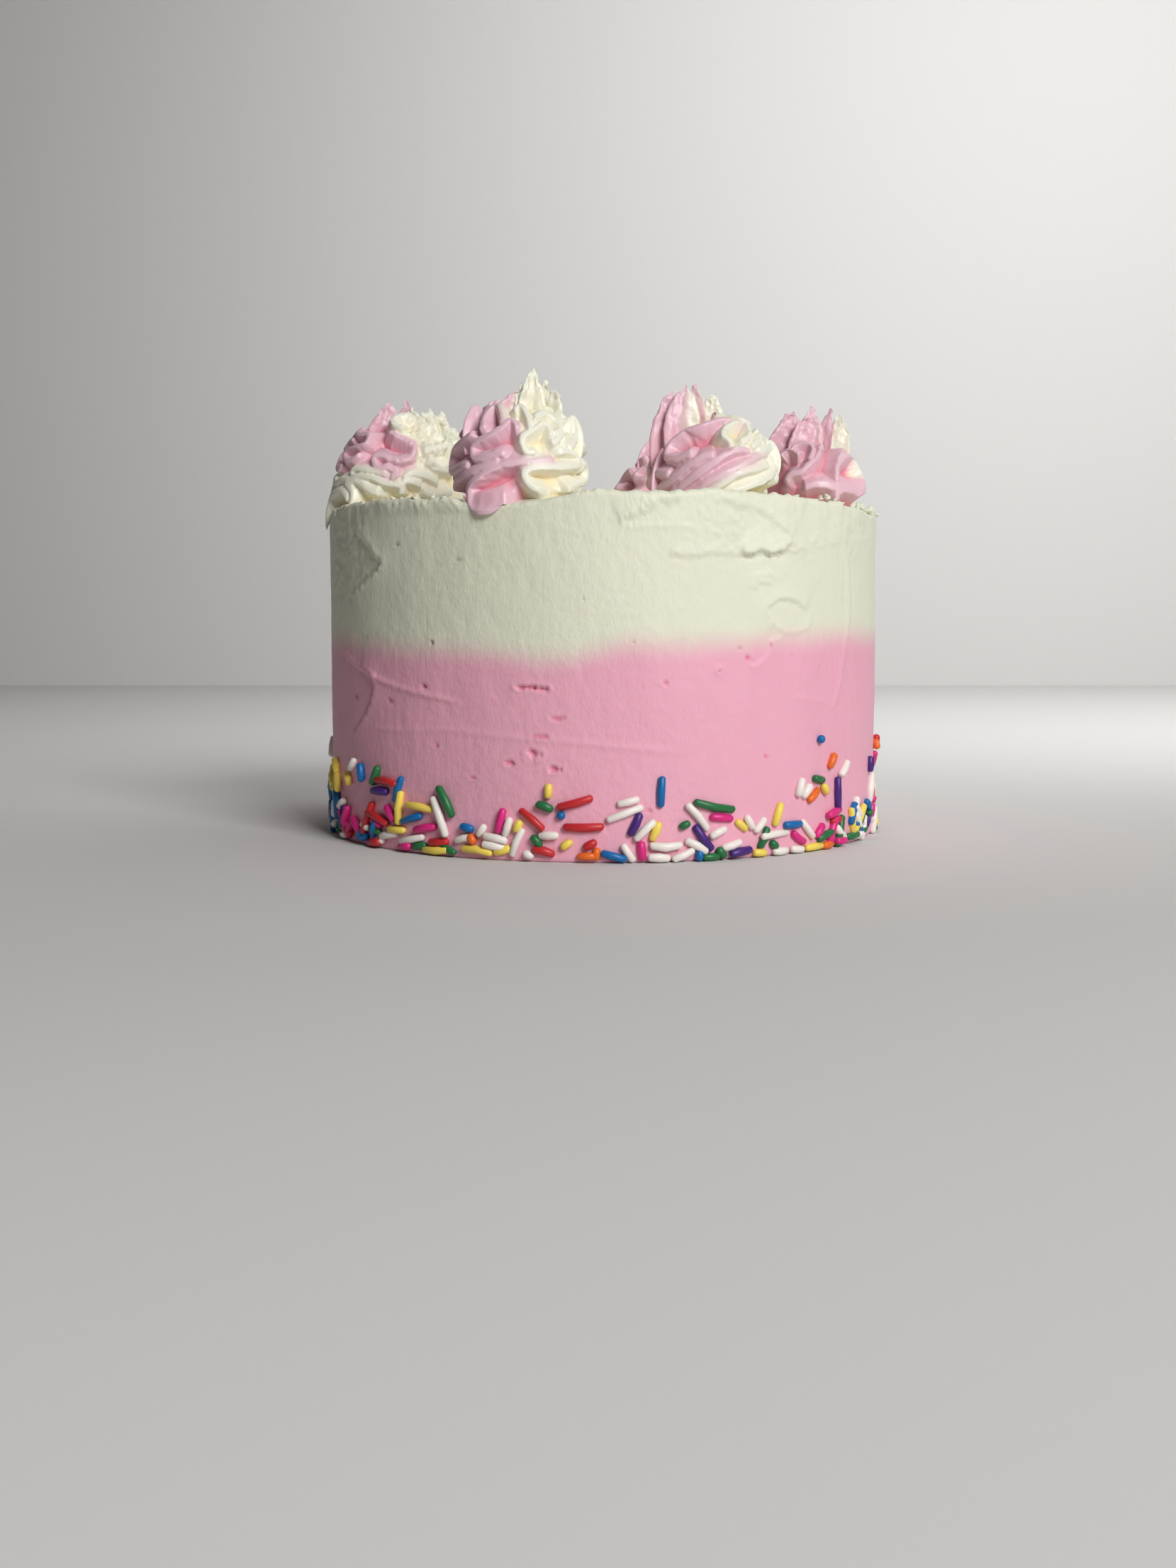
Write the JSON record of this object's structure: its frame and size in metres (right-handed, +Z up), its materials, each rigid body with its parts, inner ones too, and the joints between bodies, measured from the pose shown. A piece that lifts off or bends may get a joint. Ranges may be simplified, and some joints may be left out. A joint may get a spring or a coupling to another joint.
{
  "type": "birthday cake",
  "caption": "Round frosted birthday cake, ivory above and pink below, with piped two-colour swirls in a ring on top and rainbow sprinkles round its foot.",
  "frame": {"origin": "middle of the cake's flat underside", "axes": "+Z up along the cake's axis, -Y towards the front"},
  "size_m": [0.1541, 0.154, 0.1213],
  "materials": {
    "side_frosting": "matte buttercream, ivory above and pink below",
    "swirl_frosting": "satin buttercream, pink and ivory side by side"
  },
  "bodies": {
    "root": {"frosted_cake": "side_frosting", "swirl_1": "swirl_frosting", "swirl_2": "swirl_frosting", "swirl_3": "swirl_frosting", "swirl_4": "swirl_frosting", "swirl_5": "swirl_frosting", "swirl_6": "swirl_frosting"}
  },
  "joints": []
}
